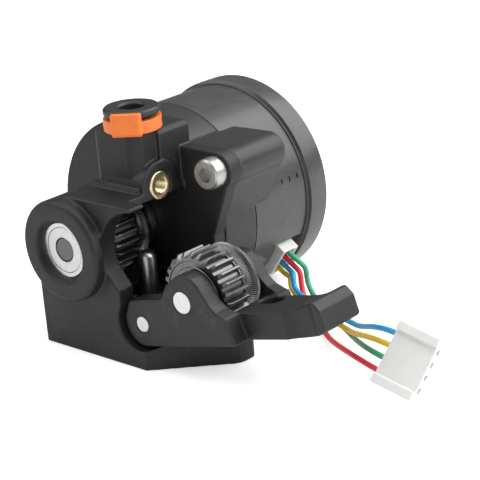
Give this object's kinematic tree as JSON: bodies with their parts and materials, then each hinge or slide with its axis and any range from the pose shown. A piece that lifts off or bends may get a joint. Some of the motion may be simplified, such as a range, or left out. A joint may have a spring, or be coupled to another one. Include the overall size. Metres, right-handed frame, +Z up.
{
  "type": "filament extruder",
  "caption": "Direct-drive filament extruder: planetary gear motor on a moulded housing, toothed drive gear, swing-open idler lever with a second gear, collet inlet and a plug on a cable.",
  "frame": {"origin": "point where the filament axis leaves the flat mounting base", "axes": "+Z up along the filament towards the inlet, +Y towards the motor, +X towards the idler lever"},
  "size_m": [0.0827, 0.0463, 0.0397],
  "materials": {
    "black_nylon": "fine-grained moulded nylon",
    "dark_nylon": "satin moulded nylon",
    "motor_paint": "satin black",
    "laminations": "fine stacked lines",
    "bearing_steel": "ground steel",
    "shield_steel": "pressed sheet",
    "gear_steel": "dark hardened steel",
    "shaft_steel": "ground",
    "stainless": "machined",
    "brass": "knurled",
    "bronze": "sintered",
    "copper": "enamelled wire",
    "magnet": "plated",
    "orange_plastic": "moulded",
    "white_plastic": "moulded nylon",
    "tin_plate": "tinned",
    "seal_rubber": "matte",
    "wire_yellow": "extruded",
    "wire_blue": "extruded",
    "wire_red": "extruded",
    "wire_green": "extruded"
  },
  "bodies": {
    "frame": {"main_housing": "black_nylon", "gearbox_housing": "dark_nylon", "front_bearing_outer_ring": "bearing_steel", "front_bearing_balls": "bearing_steel", "front_bearing_shields": "shield_steel", "rear_bearing_outer_ring": "bearing_steel", "rear_bearing_balls": "bearing_steel", "motor_front_cap": "motor_paint", "stator_stack": "laminations", "winding_coils": "copper", "motor_front_bearing_outer_ring": "bearing_steel", "motor_front_bearing_balls": "bearing_steel", "motor_rear_bearing_outer_ring": "bearing_steel", "motor_rear_bearing_balls": "bearing_steel", "motor_rear_cap": "motor_paint", "wire_socket": "white_plastic", "wire_yellow": "wire_yellow", "wire_blue": "wire_blue", "wire_red": "wire_red", "wire_green": "wire_green", "plug_housing": "white_plastic", "plug_terminals": "tin_plate", "hinge_pin": "stainless", "tube_seal": "seal_rubber", "threaded_insert": "brass", "guide_tube": "shaft_steel", "housing_screws": "stainless"},
    "output": {"output_shaft": "shaft_steel", "front_bearing_inner_ring": "bearing_steel", "rear_bearing_inner_ring": "bearing_steel", "drive_gear": "gear_steel", "shaft_shims": "stainless", "planet_carrier": "shaft_steel", "planet_pins": "stainless"},
    "rotor": {"motor_shaft": "stainless", "sun_gear": "stainless", "rotor_magnet": "magnet", "motor_front_bearing_inner_ring": "bearing_steel", "motor_rear_bearing_inner_ring": "bearing_steel"},
    "planet_1": {"planet_gear_1": "bronze"},
    "planet_2": {"planet_gear_2": "bronze"},
    "planet_3": {"planet_gear_3": "bronze"},
    "lever": {"idler_lever": "black_nylon", "idler_axle": "stainless", "idler_washers": "stainless"},
    "idler": {"idler_gear": "gear_steel", "idler_bush": "bronze"},
    "clip": {"lock_clip": "orange_plastic"},
    "collet": {"tube_collet": "black_nylon"}
  },
  "joints": [
    {"name": "output_spin", "type": "hinge", "parent": "frame", "child": "output", "pos_m": [-0.0065, 0.002, 0.018], "axis": [0, 1, 0], "continuous": true},
    {"name": "rotor_spin", "type": "hinge", "parent": "frame", "child": "rotor", "pos_m": [-0.0065, 0.022, 0.018], "axis": [0, 1, 0], "continuous": true},
    {"name": "planet_1_spin", "type": "hinge", "parent": "output", "child": "planet_1", "pos_m": [0.0025, 0.0118, 0.018], "axis": [0, 1, 0], "continuous": true},
    {"name": "planet_2_spin", "type": "hinge", "parent": "output", "child": "planet_2", "pos_m": [-0.011, 0.0118, 0.02579], "axis": [0, 1, 0], "continuous": true},
    {"name": "planet_3_spin", "type": "hinge", "parent": "output", "child": "planet_3", "pos_m": [-0.011, 0.0118, 0.01021], "axis": [0, 1, 0], "continuous": true},
    {"name": "lever_swing", "type": "hinge", "parent": "frame", "child": "lever", "pos_m": [0.0075, -0.002, 0.00746], "axis": [0, -1, 0], "range_deg": [0, 63.8]},
    {"name": "idler_spin", "type": "hinge", "parent": "lever", "child": "idler", "pos_m": [0.01655, -0.002, 0.013], "axis": [0, 1, 0], "continuous": true},
    {"name": "clip_pull", "type": "slide", "parent": "frame", "child": "clip", "axis": [0.5736, -0.8192, 0], "range_m": [0, 0.008]},
    {"name": "collet_press", "type": "slide", "parent": "frame", "child": "collet", "axis": [0, 0, -1], "range_m": [0, 0.0004]}
  ],
  "couplings": [
    {"joint": "rotor_spin", "follows": "output_spin", "ratio": 6},
    {"joint": "planet_1_spin", "follows": "output_spin", "ratio": -2.5},
    {"joint": "planet_2_spin", "follows": "output_spin", "ratio": -2.5},
    {"joint": "planet_3_spin", "follows": "output_spin", "ratio": -2.5},
    {"joint": "idler_spin", "follows": "output_spin", "ratio": -1}
  ]
}
